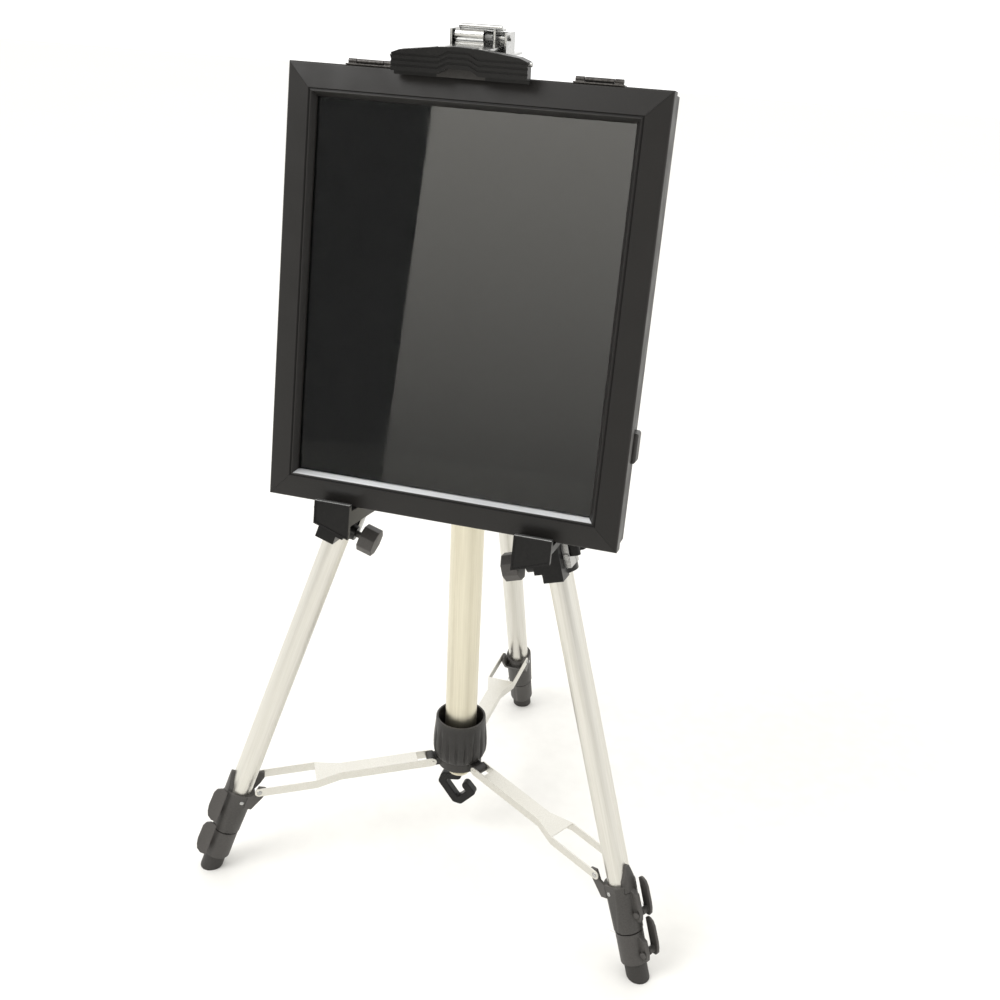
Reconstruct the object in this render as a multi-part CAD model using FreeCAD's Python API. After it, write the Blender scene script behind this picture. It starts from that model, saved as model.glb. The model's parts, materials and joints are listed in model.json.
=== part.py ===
"""Folding tripod display easel with a framed display case on its shelf clamps.

Millimetres, +Z up, +Y to the back, floor at Z = 0. The easel is laid out about its mast axis,
and every part is moved by MAST_Y at the end, so the origin lies under the middle of the whole object.
"""
import FreeCAD, Part
import math
import os

V = FreeCAD.Vector

# Whole easel
MAST_Y = -54.6            # mast axis, from the middle of the object's footprint
LEG_AZIMUTHS = {"left": 210.0, "right": 330.0, "rear": 90.0}
LEG_LEAN = 20.0           # from vertical, legs spread
LEG_LENGTH = 561.0        # hinge pin to floor, along the leg, legs retracted
HINGE_R = 35.0            # hinge pins, from the mast axis
HINGE_Z = 527.0
FIT = 0.3                 # gap between telescoping tubes
PIN_FIT = 0.06            # running gap round hinge pins

# Tubes
WALL = 1.2
CENTRE_R = 14.0
MAST_R = 11.0
UPPER_R = 10.0
MIDDLE_R = UPPER_R - WALL - FIT
LOWER_R = MIDDLE_R - WALL - FIT
CENTRE_BOTTOM, CENTRE_TOP = 85.0, 539.0
MAST_BOTTOM, MAST_TOP = 200.0, 697.0

# Crown
CROWN_R = 22.0
CROWN_BOTTOM, CROWN_TOP = 505.0, 547.0
LUG_IN, LUG_OUT = 7.6, 11.0
LUG_R = 10.0
HINGE_PIN_R = 2.5
LOCK_AZIMUTH = 30.0
LOCK_Z = 524.0

# Distances down the leg from its hinge pin
UPPER_COLLAR_TOP, UPPER_COLLAR_END = 474.0, 516.0
LOWER_COLLAR_TOP, LOWER_COLLAR_END = 517.5, 545.0
SPIKE_TIP = 457.0         # thin wall that rises behind the tube
UPPER_COLLAR_R = 12.2     # the sleeve also stays within this far to each side
COLLAR_MOUTH_R = 13.2
LOWER_COLLAR_R = 11.6
FOOT_R = 9.4

# Flip levers
UPPER_LEVER_PIN = (15.8, 499.0)   # outward from the leg's axis, down the leg
LOWER_LEVER_PIN = (14.7, 535.5)
FLANGE_HALF = 2.2         # collar's flange that carries the lever's pin
LEVER_GAP, LEVER_THICK = 12.7, 2.2
LEVER_TILT = 15.0         # the paddle lies along the collar's side and stands out past it

# Spreader
BRACE_PIVOT = (-14.0, 466.0)      # in the upper collar's fork, same measures as the levers
HUB_PIN_R, HUB_PIN_Z = 26.5, 91.5
BRACE_WALL = 1.1
BRACE_HALF = 7.0
FORK_HALF = 13.6          # the fork's arms pass outside the collar as the legs fold
BRACE_END_R = 4.0
FORK_LENGTH = 50.0
HUB_BOTTOM, HUB_TOP, NECK_TOP = 86.0, 95.0, 112.0
CUP_BOTTOM, CUP_RIM = 95.4, 136.0
FLUTES = 18

# Display case, in its own plane: X across, Y from front to back, Z up the front
CASE_X = 10.0
CASE_FRONT_Y, CASE_BOTTOM_Z = -113.0, 384.0
CASE_TILT = 10.4
CASE_W, CASE_H = 268.0, 310.0
FRAME_DEPTH, TRIM_DEPTH, CASE_DEPTH = 15.0, 2.0, 40.0
RAIL = 22.0
BEVEL = 3.0
GLASS_Y = 6.0
LATCH_CENTRES = (-75.0, 84.0)
LATCH_Y, LATCH_Z = 7.0, 2.8       # latch hinge, back from the front and up from the top

# Shelf clamps
CLAMP_TOP, CLAMP_END = 180.0, 211.0
SCREW_S, SCREW_FORWARD = 197.0, 18.0
LIP_X = {"left": 67.0, "right": 86.0}
LIP_HALF = 14.0
LIP_GAP, LIP_THICK, LIP_RISE = 5.5, 4.0, 4.6   # the gap lets the lip drop clear as the leg folds
REST_GAP = 0.1            # left under the case, so that it only just rests
LEDGE_DEPTH = 66.0
KNOB_FLATS = 21.0

# Top clip
CLIP_PIN_Y, CLIP_PIN_Z = -22.0, 709.5
CLIP_LEFT, CLIP_RIGHT = -16.0, 24.0
JAW_X, JAW_HALF = 3.0, 47.0
JAW_ROD_Y, JAW_ROD_Z = -62.5, 698.0
JAW_FRONT, JAW_BACK = -67.2, -58.2
LEVER_EYES = (-13.5, 14.5)


def block(x0, x1, y0, y1, z0, z1):
    """A box between two corners."""
    return Part.makeBox(x1 - x0, y1 - y0, z1 - z0, V(x0, y0, z0))


def rod_x(radius, x0, x1, y, z):
    """A cylinder along X."""
    return Part.makeCylinder(radius, x1 - x0, V(x0, y, z), V(1, 0, 0))


def rod_y(radius, y0, y1, x, z):
    """A cylinder along Y."""
    return Part.makeCylinder(radius, y1 - y0, V(x, y0, z), V(0, 1, 0))


def ring(outer, inner, z0, z1):
    """A round ring about Z."""
    body = Part.makeCylinder(outer, z1 - z0, V(0, 0, z0))
    return body.cut(Part.makeCylinder(inner, z1 - z0, V(0, 0, z0)))


def prism(points, direction):
    """A flat outline, extruded along a vector."""
    return Part.Face(Part.makePolygon(points + [points[0]])).extrude(direction)


def revolved(profile):
    """A closed (radius, z) outline turned about Z."""
    points = [V(r, 0, z) for r, z in profile]
    return Part.Face(Part.makePolygon(points + [points[0]])).revolve(V(0, 0, 0), V(0, 0, 1), 360)


def bar(start, end, radius, y0, y1):
    """A round-ended flat bar in the XZ plane, from y0 to y1."""
    (xa, za), (xb, zb) = start, end
    run = math.hypot(xb - xa, zb - za)
    nx, nz = -(zb - za) / run * radius, (xb - xa) / run * radius
    outline = [V(xa + nx, y0, za + nz), V(xb + nx, y0, zb + nz), V(xb - nx, y0, zb - nz), V(xa - nx, y0, za - nz)]
    middle = prism(outline, V(0, y1 - y0, 0))
    return fused([middle, rod_y(radius, y0, y1, xa, za), rod_y(radius, y0, y1, xb, zb)])


def fused(shapes):
    """One clean solid from touching or overlapping shapes."""
    return shapes[0].fuse(shapes[1:]).removeSplitter()


def group(shapes):
    """Separate solids that share a node."""
    return Part.makeCompound(shapes)


def mirrored(shape):
    """The left-hand copy of a right-hand part."""
    return shape.mirror(V(0, 0, 0), V(1, 0, 0))


def turned(shape, azimuth):
    """A shape laid out along +X, turned to an azimuth about the mast."""
    copy = shape.copy()
    copy.rotate(V(0, 0, 0), V(0, 0, 1), azimuth)
    return copy


def on_leg(shape, azimuth):
    """From leg measures (X outward, Z up the leg, hinge pin at the origin) to the spread leg."""
    copy = shape.copy()
    copy.rotate(V(0, 0, 0), V(0, 1, 0), -LEG_LEAN)
    copy.translate(V(HINGE_R, 0, HINGE_Z))
    return turned(copy, azimuth)


def on_case(shape):
    """From the case's own plane to its leaning place on the easel."""
    copy = shape.copy()
    copy.rotate(V(0, 0, 0), V(1, 0, 0), -CASE_TILT)
    copy.translate(V(CASE_X, CASE_FRONT_Y, CASE_BOTTOM_Z))
    return copy


def leg_point(outward, down):
    """Radius and height of a point given in leg measures, legs spread."""
    lean = math.radians(LEG_LEAN)
    radius = HINGE_R + down * math.sin(lean) + outward * math.cos(lean)
    height = HINGE_Z - down * math.cos(lean) + outward * math.sin(lean)
    return radius, height


# Fixed centre

def crown():
    body = ring(CROWN_R, CENTRE_R, CROWN_BOTTOM, CENTRE_TOP)
    cap = ring(CROWN_R, MAST_R + FIT, CENTRE_TOP, CROWN_TOP)
    pieces = [body, cap]
    for azimuth in LEG_AZIMUTHS.values():
        for side in (LUG_IN, -LUG_OUT):
            arm = block(CENTRE_R + 2, HINGE_R, side, side + LUG_OUT - LUG_IN, HINGE_Z - 9, HINGE_Z + 9)
            eye = rod_y(LUG_R, side, side + LUG_OUT - LUG_IN, HINGE_R, HINGE_Z)
            pieces += [turned(arm, azimuth), turned(eye, azimuth)]
    pieces.append(turned(rod_x(8.0, CENTRE_R + 2, 31.0, 0, LOCK_Z), LOCK_AZIMUTH))
    shape = fused(pieces)
    for azimuth in LEG_AZIMUTHS.values():
        shape = shape.cut(turned(rod_y(HINGE_PIN_R, -LUG_OUT, LUG_OUT, HINGE_R, HINGE_Z), azimuth))
    shape = shape.cut(Part.makeCylinder(CENTRE_R, CENTRE_TOP - CROWN_BOTTOM, V(0, 0, CROWN_BOTTOM)))
    return shape.cut(turned(rod_x(3.0 + PIN_FIT, CENTRE_R - 1, 32.0, 0, LOCK_Z), LOCK_AZIMUTH))


def crown_lock_knob():
    screw = rod_x(3.0, MAST_R + 0.4, 34.0, 0, LOCK_Z)
    hub = rod_x(7.0, 31.5, 45.0, 0, LOCK_Z)
    lobes = []
    for angle in (0, 72, 144, 216, 288):
        lobe = rod_x(4.5, 34.0, 45.0, 0, LOCK_Z + 8.0)
        lobe.rotate(V(0, 0, LOCK_Z), V(1, 0, 0), angle)
        lobes.append(lobe)
    return turned(fused([screw, hub] + lobes), LOCK_AZIMUTH)


def leg_hinge_pins():
    shank = rod_y(HINGE_PIN_R, -LUG_OUT, LUG_OUT, HINGE_R, HINGE_Z)
    heads = [rod_y(4.2, LUG_OUT, LUG_OUT + 1.6, HINGE_R, HINGE_Z), rod_y(4.2, -LUG_OUT - 1.6, -LUG_OUT, HINGE_R, HINGE_Z)]
    pin = fused([shank] + heads)
    return group([turned(pin, azimuth) for azimuth in LEG_AZIMUTHS.values()])


def centre_tube():
    tube = ring(CENTRE_R, CENTRE_R - WALL, CENTRE_BOTTOM, CENTRE_TOP)
    return tube.cut(turned(rod_x(3.6, MAST_R, CENTRE_R + 2, 0, LOCK_Z), LOCK_AZIMUTH))


def end_plug():
    insert = Part.makeCylinder(CENTRE_R - WALL, 24.0, V(0, 0, CENTRE_BOTTOM))
    neck = Part.makeCylinder(9.0, 10.0, V(0, 0, CENTRE_BOTTOM - 10.0))
    lip = Part.makeCylinder(9.8, 2.0, V(0, 0, CENTRE_BOTTOM - 10.0))
    return fused([insert, neck, lip]).cut(Part.makeCylinder(2.5 + PIN_FIT, 9.0, V(0, 0, CENTRE_BOTTOM - 10.0)))


def utility_hook():
    top = CENTRE_BOTTOM - 10.3
    stud = Part.makeCylinder(2.5, 8.5, V(0, 0, top - 0.5))
    boss = Part.makeCylinder(6.0, 3.0, V(0, 0, top - 3.0))
    route = [(-1.0, 69.0), (-13.0, 66.5), (-15.0, 60.0), (-2.0, 42.5), (2.5, 42.0), (13.0, 54.0), (8.0, 60.0)]
    arms = [bar(a, b, 3.8, -4.0, 4.0) for a, b in zip(route, route[1:])]
    return fused([stud, boss] + arms)


def mast():
    tube = ring(MAST_R, MAST_R - WALL, MAST_BOTTOM, MAST_TOP)
    guide = ring(CENTRE_R - WALL - FIT, MAST_R - WALL, MAST_BOTTOM, MAST_BOTTOM + 16.0)
    return fused([tube, guide])


# Spreader

def spreader_hub():
    base = ring(20.0, CENTRE_R + FIT, HUB_BOTTOM, HUB_TOP)
    neck = ring(17.4, CENTRE_R + FIT, HUB_TOP, NECK_TOP)
    pieces = [base, neck]
    half = BRACE_HALF - BRACE_WALL - 0.5
    for azimuth in LEG_AZIMUTHS.values():
        arm = block(16.0, HUB_PIN_R, -half, half, HUB_PIN_Z - 4.4, HUB_PIN_Z + 3.4)
        eye = rod_y(4.4, -half, half, HUB_PIN_R, HUB_PIN_Z)
        pieces += [turned(arm, azimuth), turned(eye, azimuth)]
    shape = fused(pieces).cut(Part.makeCylinder(CENTRE_R + FIT, 40.0, V(0, 0, HUB_BOTTOM - 5)))
    for azimuth in LEG_AZIMUTHS.values():
        shape = shape.cut(turned(rod_y(1.8 + PIN_FIT, -half - 1, half + 1, HUB_PIN_R, HUB_PIN_Z), azimuth))
    return shape


def hub_collar():
    cup = revolved([(17.4 + FIT, CUP_BOTTOM), (20.4, CUP_BOTTOM), (23.2, 98.5), (24.2, 104.0), (24.0, 116.0),
                    (22.2, 130.0), (22.0, CUP_RIM), (19.8, CUP_RIM), (19.8, 114.0), (17.4 + FIT, 114.0)])
    for index in range(FLUTES):
        groove = Part.makeCone(2.1, 1.0, 26.0, V(25.3, 0, 97.5))
        cup = cup.cut(turned(groove, index * 360.0 / FLUTES))
    return cup


def brace_outline(inset, length):
    """Plan of a brace from its hub pin outward, with its sides moved in by inset."""
    narrow, wide = BRACE_HALF - inset, FORK_HALF - inset
    flare = length - FORK_LENGTH
    side = [(-BRACE_END_R, narrow), (flare - 22.0, narrow), (flare, wide), (length + BRACE_END_R, wide)]
    plan = side + [(x, -y) for x, y in reversed(side)]
    return [V(x, y, 0) for x, y in plan]


def brace(azimuth):
    end_r, end_z = leg_point(*BRACE_PIVOT)
    length = math.hypot(end_r - HUB_PIN_R, end_z - HUB_PIN_Z)
    drop = math.degrees(math.atan2(HUB_PIN_Z - end_z, end_r - HUB_PIN_R))
    tall = 2 * BRACE_END_R
    outer = prism(brace_outline(0, length), V(0, 0, tall))
    inner = prism(brace_outline(BRACE_WALL, length), V(0, 0, tall - BRACE_WALL))
    shape = outer.cut(inner)
    shape.translate(V(0, 0, -BRACE_END_R))
    side = bar((0, 0), (length, 0), BRACE_END_R, -FORK_HALF, FORK_HALF)
    shape = shape.common(side)
    web = block(length - FORK_LENGTH, length + tall, -FORK_HALF + BRACE_WALL, FORK_HALF - BRACE_WALL, 0, tall)
    shape = shape.cut(web)
    shape = shape.cut(block(-tall, 13.0, -BRACE_HALF + BRACE_WALL, BRACE_HALF - BRACE_WALL, 0, tall))
    pin = rod_y(1.8, -BRACE_HALF - 0.8, BRACE_HALF + 0.8, 0, 0)
    shape = fused([shape, pin])
    shape.rotate(V(0, 0, 0), V(0, 1, 0), drop)
    shape.translate(V(HUB_PIN_R, 0, HUB_PIN_Z))
    return turned(shape, azimuth)


# One leg, in leg measures

def leg_head():
    eye = rod_y(7.2, -LUG_IN + 0.4, LUG_IN - 0.4, 0, 0)
    neck = block(-6.0, 6.0, -LUG_IN + 0.4, LUG_IN - 0.4, -13.0, 0)
    flange = Part.makeCylinder(UPPER_R + 0.6, 2.5, V(0, 0, -15.0))
    plug = Part.makeCylinder(UPPER_R - WALL, 22.0, V(0, 0, -36.0))
    shape = fused([eye, neck, flange, plug])
    return shape.cut(rod_y(HINGE_PIN_R + PIN_FIT, -LUG_OUT, LUG_OUT, 0, 0))


def lever_flange(pin, root, top, end):
    """Flange up the collar's outer side that carries a lever's pin."""
    out, down = pin
    outline = [V(root, -FLANGE_HALF, -end), V(out + 1.0, -FLANGE_HALF, -end + 1.0), V(out + 2.6, -FLANGE_HALF, -down),
               V(out + 2.2, -FLANGE_HALF, -top - 6.0), V(root, -FLANGE_HALF, -top)]
    return prism(outline, V(0, 2 * FLANGE_HALF, 0))


def upper_collar():
    """Sleeve with a hooked pair of ears for the brace, a thin wall behind the tube and a lever flange."""
    tall = UPPER_COLLAR_END - UPPER_COLLAR_TOP
    sleeve = Part.makeCone(UPPER_COLLAR_R, COLLAR_MOUTH_R, tall, V(0, 0, -UPPER_COLLAR_END))
    spike = Part.makeCylinder(COLLAR_MOUTH_R, UPPER_COLLAR_TOP - SPIKE_TIP + 6.0, V(0, 0, -UPPER_COLLAR_TOP - 6.0))
    blade = [V(0, -7.5, -UPPER_COLLAR_TOP - 6.0), V(0, 7.5, -UPPER_COLLAR_TOP - 6.0), V(0, 6.5, -470.0),
             V(0, 1.5, -SPIKE_TIP), V(0, -1.5, -SPIKE_TIP), V(0, -6.5, -470.0)]
    spike = spike.common(prism(blade, V(30.0, 0, 0)))
    hook = [V(-6.0, -12.2, -486.0), V(-6.0, -12.2, -474.0), V(-10.5, -12.2, -471.0), V(-12.0, -12.2, -461.5),
            V(-18.5, -12.2, -461.0), V(-20.0, -12.2, -466.0), V(-18.5, -12.2, -472.0), V(-12.6, -12.2, -486.0)]
    ears = prism(hook, V(0, 24.4, 0)).cut(block(-30.0, -6.0, -9.6, 9.6, -480.0, -455.0))
    flange = lever_flange(UPPER_LEVER_PIN, 10.0, 476.0, 507.0)
    shape = fused([sleeve, spike, ears, flange])
    for side in (UPPER_COLLAR_R, -UPPER_COLLAR_R - 10.0):
        shape = shape.cut(block(-30.0, 30.0, side, side + 10.0, -530.0, -430.0))
    shape = shape.cut(Part.makeCylinder(UPPER_R, UPPER_COLLAR_END - 440.0, V(0, 0, -UPPER_COLLAR_END + 4.0)))
    shape = shape.cut(Part.makeCylinder(MIDDLE_R + FIT, 10.0, V(0, 0, -UPPER_COLLAR_END - 1.0)))
    out, down = UPPER_LEVER_PIN
    return shape.cut(rod_y(1.5 + PIN_FIT, -6.0, 6.0, out, -down))


def lower_collar():
    sleeve = Part.makeCylinder(LOWER_COLLAR_R, LOWER_COLLAR_END - LOWER_COLLAR_TOP, V(0, 0, -LOWER_COLLAR_END))
    shape = fused([sleeve, lever_flange(LOWER_LEVER_PIN, 9.4, LOWER_COLLAR_TOP + 1.0, 543.5)])
    shape = shape.cut(Part.makeCylinder(MIDDLE_R, 30.0, V(0, 0, -LOWER_COLLAR_END + 4.0)))
    shape = shape.cut(Part.makeCylinder(LOWER_R + FIT, 10.0, V(0, 0, -LOWER_COLLAR_END - 1.0)))
    out, down = LOWER_LEVER_PIN
    return shape.cut(rod_y(1.5 + PIN_FIT, -6.0, 6.0, out, -down))


def flip_lever(pin):
    """A cam lever, closed: a rounded paddle along the collar's side, on a pin through the flange."""
    out, down = pin
    outline = [(-7.0, 26.0), (-4.0, 28.0), (-1.0, 28.0), (2.6, 26.2), (4.4, 22.0), (4.8, 8.0), (4.0, 2.0), (2.4, -2.6),
               (-1.4, -6.0), (-7.0, -6.4)]
    paddle = prism([V(out + x, LEVER_GAP, -down + z) for x, z in outline], V(0, LEVER_THICK, 0))
    paddle.rotate(V(0, 0, 0), V(0, 0, 1), -LEVER_TILT)
    pin_rod = rod_y(1.5, -FLANGE_HALF - 2.0, 9.6, out, -down)
    head = rod_y(2.6, -FLANGE_HALF - 2.6, -FLANGE_HALF - 0.6, out, -down)
    boss = rod_y(3.0, FLANGE_HALF + 0.6, 9.2, out, -down)
    return fused([paddle, pin_rod, head, boss])


def leg_tube(radius, start, end):
    """A leg tube between two distances from the hinge pin."""
    return ring(radius, radius - WALL, -end, -start)


def foot(azimuth):
    """A rubber foot, cut flat where it stands on the floor."""
    shank = Part.makeCylinder(FOOT_R, 16.0, V(0, 0, -LOWER_COLLAR_END - 16.5))
    toe = Part.makeSphere(FOOT_R, V(0, 0, -LOWER_COLLAR_END - 16.5))
    bore = Part.makeCylinder(LOWER_R, 14.0, V(0, 0, -LOWER_COLLAR_END - 13.0))
    shape = on_leg(fused([shank, toe]).cut(bore), azimuth)
    return shape.cut(block(-400, 400, -400, 400, -40, 0))


# Shelf clamps, right hand

def clamp_frame(shape):
    """From clamp measures (X forward, Y to the outer side, Z up the leg) to the right leg."""
    copy = shape.copy()
    copy.rotate(V(0, 0, 0), V(0, 0, 1), -60.0)
    return on_leg(copy, LEG_AZIMUTHS["right"])


def in_case_plane(shape):
    """From the case's plane to its place, without the case's sideways shift."""
    copy = on_case(shape)
    copy.translate(V(-CASE_X, 0, 0))
    return copy


def clamp_shelf(lip_x):
    """Ledge under the case with its lip: the top is level, the underside is square to the leg."""
    slope = math.tan(math.radians(17.4))
    inner, outer = lip_x - LIP_HALF, lip_x + LIP_HALF
    front = -LIP_GAP - LIP_THICK
    lip = prism([V(inner, front, LIP_RISE), V(outer, front, LIP_RISE), V(outer, front, -13.0),
                 V(inner, front, -13.0 - 2 * LIP_HALF * slope)], V(0, LIP_THICK, 0))
    ledge = prism([V(inner, front, 0), V(outer, front, 0), V(outer, front, -6.0),
                   V(inner, front, -8.0 - LIP_HALF * slope)], V(0, LEDGE_DEPTH, 0))
    return in_case_plane(fused([lip, ledge]))


def clamp_body(lip_x):
    front = clamp_frame(block(9.0, 27.0, -12.0, 10.0, -CLAMP_END, -CLAMP_TOP + 14.0))
    post = clamp_frame(block(9.0, 24.0, -12.0, 14.0, -CLAMP_TOP, -CLAMP_TOP + 30.0))
    wrap = clamp_frame(Part.makeCylinder(15.0, CLAMP_END - CLAMP_TOP - 4.0, V(0, 0, -CLAMP_END + 2.0)))
    ear = clamp_frame(fused([block(-6.0, 16.0, 12.0, 20.0, -195.0, -183.0),
                             Part.makeCylinder(3.0, 12.0, V(13.0, 20.0, -195.0)),
                             Part.makeCylinder(3.0, 12.0, V(-3.0, 20.0, -195.0))]))
    neck = clamp_frame(Part.makeCylinder(6.0, 8.0, V(SCREW_FORWARD, -19.0, -SCREW_S), V(0, 1, 0)))
    shape = fused([front, post, wrap, ear, neck, clamp_shelf(lip_x)])
    under = in_case_plane(block(-250, 250, 0, 120, -REST_GAP, 120))
    shape = shape.cut(under)
    shape = shape.cut(clamp_frame(Part.makeCylinder(UPPER_R + FIT, 120.0, V(0, 0, -250))))
    shape = shape.cut(clamp_frame(block(7.0, 30.0, -30.0, -6.0, -240, -SCREW_S - 7.0)))
    shape = shape.cut(clamp_frame(Part.makeCylinder(2.6 + PIN_FIT, 40.0, V(SCREW_FORWARD, -24.0, -SCREW_S), V(0, 1, 0))))
    return shape.cut(clamp_strap())


def clamp_strap():
    """A steel band round the outside of the clamp, with its riveted tab."""
    band = ring(16.2, 15.0, -SCREW_S - 6.0, -SCREW_S + 8.0)
    band = band.cut(block(6.0, 30.0, -30.0, 30.0, -SCREW_S - 10.0, -SCREW_S + 12.0))
    tab = block(4.0, 19.0, 14.6, 15.8, -SCREW_S - 6.0, -SCREW_S + 14.0)
    face = block(17.8, 19.0, 10.2, 15.8, -SCREW_S - 6.0, -SCREW_S + 14.0)
    rivet = Part.makeCylinder(2.4, 1.4, V(19.0, 13.0, -SCREW_S + 3.0), V(1, 0, 0))
    return clamp_frame(fused([band, tab, face, rivet]))


def clamp_knob():
    """Octagonal knob on its clamp screw."""
    radius = KNOB_FLATS / 2 / math.cos(math.radians(22.5))
    corners = []
    for index in range(8):
        angle = math.radians(22.5 + 45.0 * index)
        corners.append(V(SCREW_FORWARD + radius * math.cos(angle), -37.0, -SCREW_S + radius * math.sin(angle)))
    head = prism(corners, V(0, 13.0, 0))
    screw = Part.makeCylinder(2.6, 42.0, V(SCREW_FORWARD, -32.0, -SCREW_S), V(0, 1, 0))
    return clamp_frame(fused([head, screw]))


# Display case, in its own plane

def frame_block(inset, y0, y1):
    """A slab the size of the case, drawn in by inset on its four sides."""
    return block(-CASE_W / 2 + inset, CASE_W / 2 - inset, y0, y1, inset, CASE_H - inset)


def frame_taper(front_inset, back_inset, y0, y1):
    """A slab that narrows from y0 to y1."""
    faces = []
    for inset, y in ((front_inset, y0), (back_inset, y1)):
        x, low, high = CASE_W / 2 - inset, inset, CASE_H - inset
        faces.append(Part.makePolygon([V(-x, y, low), V(x, y, low), V(x, y, high), V(-x, y, high), V(-x, y, low)]))
    return Part.makeLoft(faces, True)


def case_frame():
    shape = frame_block(0, 1.5, FRAME_DEPTH).fuse(frame_taper(1.5, 0, 0, 1.5))
    shape = shape.cut(frame_taper(RAIL - BEVEL, RAIL, -0.01, GLASS_Y - 2.0))
    shape = shape.cut(frame_block(RAIL, 0, GLASS_Y + 0.2))
    return shape.cut(frame_block(RAIL - 7.0, GLASS_Y, FRAME_DEPTH + 1)).removeSplitter()


def case_glass():
    return frame_block(RAIL - 6.5, GLASS_Y, GLASS_Y + 2.2)


def case_board():
    return frame_block(RAIL - 6.5, GLASS_Y + 2.2, FRAME_DEPTH)


def case_trim():
    return frame_block(0.6, FRAME_DEPTH, FRAME_DEPTH + TRIM_DEPTH).cut(frame_block(9.0, FRAME_DEPTH - 1, FRAME_DEPTH + 3))


def case_back_shell():
    start = FRAME_DEPTH + TRIM_DEPTH
    tray = frame_block(1.5, start, CASE_DEPTH)
    tray = tray.makeFillet(4.0, [e for e in tray.Edges if e.BoundBox.YMin > CASE_DEPTH - 0.1])
    return tray.cut(frame_block(3.7, start - 1, CASE_DEPTH - 2.4))


def latch_bases():
    """On the top of the case: two hinge plates on the frame and two keepers on the shell behind."""
    pieces = []
    for x in LATCH_CENTRES:
        plate = block(x - 17.0, x + 17.0, 3.0, FRAME_DEPTH - 1.0, CASE_H, CASE_H + 1.0)
        knuckles = []
        for start in (x - 16.0, x + 10.0):
            knuckles.append(rod_x(1.7, start, start + 6.0, LATCH_Y, CASE_H + LATCH_Z))
            knuckles.append(block(start, start + 6.0, LATCH_Y - 1.4, LATCH_Y + 1.4, CASE_H + 0.9, CASE_H + LATCH_Z))
        pieces.append(fused([plate] + knuckles))
        pieces.append(block(x - 5.0, x + 5.0, 20.0, 21.6, CASE_H - 1.5, CASE_H + 1.4))
    return group(pieces)


def latch_lever(x):
    """A hasp that folds back over the seam and hooks behind its keeper."""
    barrel = rod_x(1.6, x - 9.7, x + 9.7, LATCH_Y, CASE_H + LATCH_Z)
    blade = block(x - 9.7, x + 9.7, LATCH_Y, 23.4, CASE_H + 1.9, CASE_H + 3.1)
    hook = block(x - 6.0, x + 6.0, 22.2, 23.4, CASE_H - 0.6, CASE_H + 2.0)
    return fused([barrel, blade, hook])


def side_hinges():
    """A flat piece standing out a little from each side near the bottom."""
    left = block(-CASE_W / 2 - 2.6, -CASE_W / 2 + 1.5, 19.0, 33.0, 36.0, 72.0)
    left = left.makeFillet(2.0, [e for e in left.Edges if e.BoundBox.XMax < -CASE_W / 2 - 2.5])
    right = block(CASE_W / 2 - 1.5, CASE_W / 2 + 2.6, 19.0, 33.0, 62.0, 84.0)
    right = right.makeFillet(2.0, [e for e in right.Edges if e.BoundBox.XMin > CASE_W / 2 + 2.5])
    return group([left, right])


# Top clip, round the mast head

def clip_bracket():
    top, side = CLIP_PIN_Z + 4.5, 1.5
    socket = ring(MAST_R + 1.8, MAST_R, MAST_TOP - 14.0, MAST_TOP)
    base = block(CLIP_LEFT, CLIP_RIGHT, -31.0, 12.0, MAST_TOP, MAST_TOP + side)
    right = block(CLIP_RIGHT - side, CLIP_RIGHT, -29.0, -8.0, MAST_TOP, top - 1.0)
    left = block(CLIP_LEFT, CLIP_LEFT + side, -29.0, -8.0, MAST_TOP, top)
    back = block(CLIP_LEFT, CLIP_RIGHT, -9.5, -8.0, MAST_TOP, CLIP_PIN_Z + 3.0)
    shape = fused([socket, base, right, left, back])
    return shape.cut(rod_x(1.9, CLIP_LEFT - 2, CLIP_RIGHT + 2, CLIP_PIN_Y, CLIP_PIN_Z))


def clip_pin():
    return rod_x(1.9, CLIP_LEFT - 1.5, CLIP_RIGHT + 1.5, CLIP_PIN_Y, CLIP_PIN_Z)


def clip_spring():
    """Torsion spring round the pin, as a closed sleeve of its outer size."""
    return rod_x(4.4, 7.5, 13.5, CLIP_PIN_Y, CLIP_PIN_Z).cut(rod_x(2.4, 7.0, 14.0, CLIP_PIN_Y, CLIP_PIN_Z))


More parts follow.
